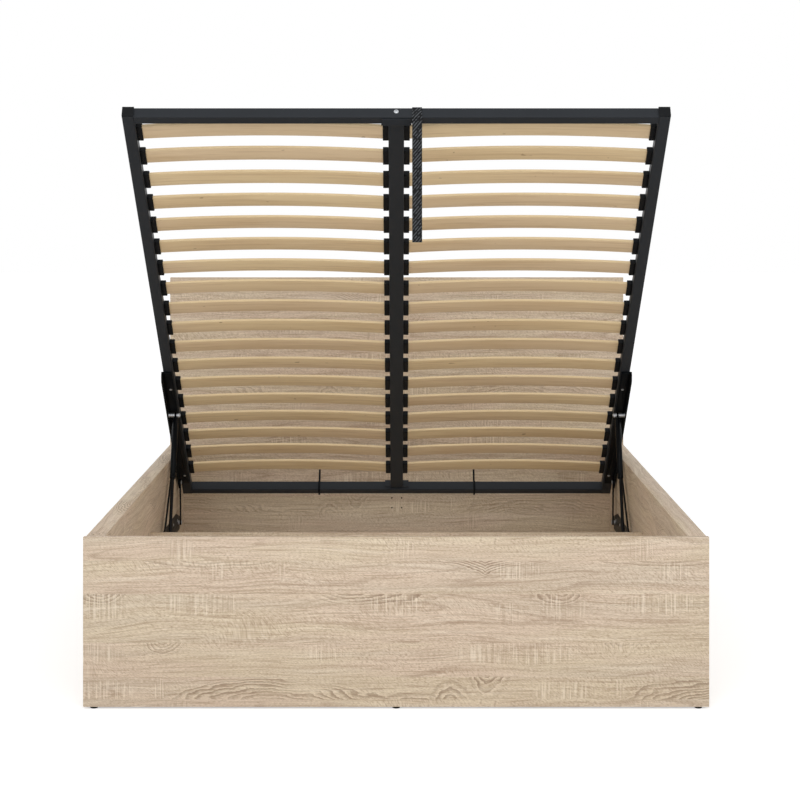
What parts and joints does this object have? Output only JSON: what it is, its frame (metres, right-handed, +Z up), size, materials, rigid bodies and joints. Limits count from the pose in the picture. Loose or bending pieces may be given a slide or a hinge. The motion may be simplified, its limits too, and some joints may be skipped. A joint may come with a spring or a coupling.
{
  "type": "lift-up storage bed",
  "caption": "Storage bed in oak-look board with a low footboard and a higher headboard; its slatted steel-frame base lifts at the foot end on gas struts.",
  "frame": {"origin": "on the floor, under the middle of the whole bed", "axes": "+Y towards the headboard, +Z up, +X to the right seen from the foot end"},
  "size_m": [1.5, 2.058, 1.4525],
  "materials": {
    "oak_board": "satin laminate with pale oak grain",
    "hardboard": "matte laminated hardboard",
    "batten_wood": "planed softwood and beech",
    "slat_wood": "smooth birch plywood",
    "anthracite_tube": "satin powder coat",
    "black_steel": "satin black coat",
    "strut_black": "gloss black coat",
    "strut_rod": "satin black hardened",
    "zinc": "bright zinc plate",
    "black_plastic": "moulded, matte",
    "webbing": "herringbone woven webbing"
  },
  "bodies": {
    "box": {"footboard": "oak_board", "headboard": "oak_board", "side_rail_left": "oak_board", "side_rail_right": "oak_board", "centre_divider": "oak_board", "floor_panel_front": "hardboard", "floor_panel_rear": "hardboard", "floor_battens": "batten_wood", "glides": "black_plastic", "corner_dowels": "batten_wood", "cam_fittings": "zinc", "rail_plate_left": "black_steel", "rail_plate_right": "black_steel", "rail_plate_screws": "zinc", "base_pins": "zinc"},
    "rear_links": {"rear_link_left": "black_steel", "rear_link_right": "black_steel"},
    "slat_frame": {"side_tube_left": "anthracite_tube", "side_tube_right": "anthracite_tube", "foot_tube": "anthracite_tube", "head_tube": "anthracite_tube", "centre_beam": "anthracite_tube", "beam_bracket_foot": "anthracite_tube", "beam_bracket_head": "anthracite_tube", "end_caps": "black_plastic", "lift_bracket_left": "black_steel", "lift_bracket_right": "black_steel", "frame_screws": "zinc", "frame_pins": "zinc", "strut_bolts": "zinc", "side_holders": "black_plastic", "centre_holders": "black_plastic", "strap_loop": "webbing", "mattress_stops": "black_steel", "slats_01": "slat_wood", "slats_02": "slat_wood", "slats_03": "slat_wood", "slats_04": "slat_wood", "slats_05": "slat_wood", "slats_06": "slat_wood", "slats_07": "slat_wood", "slats_08": "slat_wood", "slats_09": "slat_wood", "slats_10": "slat_wood", "slats_11": "slat_wood", "slats_12": "slat_wood", "slats_13": "slat_wood", "slats_14": "slat_wood", "slats_15": "slat_wood", "slats_16": "slat_wood", "slats_17": "slat_wood", "slats_18": "slat_wood"},
    "front_links": {"front_link_left": "black_steel", "front_link_right": "black_steel"},
    "strut_cylinders": {"strut_cylinder_left": "strut_black", "strut_cylinder_right": "strut_black"},
    "strut_rods": {"strut_rod_left": "strut_rod", "strut_rod_right": "strut_rod"},
    "strap": {"pull_strap": "webbing"}
  },
  "joints": [
    {"name": "rear_link_turn", "type": "hinge", "parent": "box", "child": "rear_links", "pos_m": [0, 0.79181, 0.186], "axis": [1, 0, 0], "range_deg": [-60.98, 0]},
    {"name": "base_lift", "type": "hinge", "parent": "rear_links", "child": "slat_frame", "pos_m": [0, 0.78318, 0.31568], "axis": [1, 0, 0], "range_deg": [0, 96.22], "stiffness_Nm_per_rad": 45, "springref_deg": -160.43},
    {"name": "front_link_turn", "type": "hinge", "parent": "box", "child": "front_links", "pos_m": [0, 0.23462, 0.18], "axis": [1, 0, 0], "range_deg": [-25.75, 0]},
    {"name": "strut_turn", "type": "hinge", "parent": "slat_frame", "child": "strut_cylinders", "pos_m": [0, 0.43452, 0.56219], "axis": [1, 0, 0], "range_deg": [-79.95, 0]},
    {"name": "strut_stroke", "type": "slide", "parent": "strut_cylinders", "child": "strut_rods", "axis": [0, -0.4635, -0.8861], "range_m": [-0.1802, 0]},
    {"name": "strap_swing", "type": "hinge", "parent": "slat_frame", "child": "strap", "pos_m": [0, -0.76335, 1.42119], "axis": [1, 0, 0], "range_deg": [0, 14.02]}
  ],
  "couplings": [
    {"joint": "rear_link_turn", "follows": "base_lift", "ratio": -0.63354},
    {"joint": "front_link_turn", "follows": "base_lift", "ratio": -0.26739},
    {"joint": "strut_turn", "follows": "base_lift", "ratio": -0.83067},
    {"joint": "strut_stroke", "follows": "base_lift", "m_per_rad": -0.10719},
    {"joint": "strap_swing", "follows": "base_lift", "ratio": 0.1455}
  ]
}
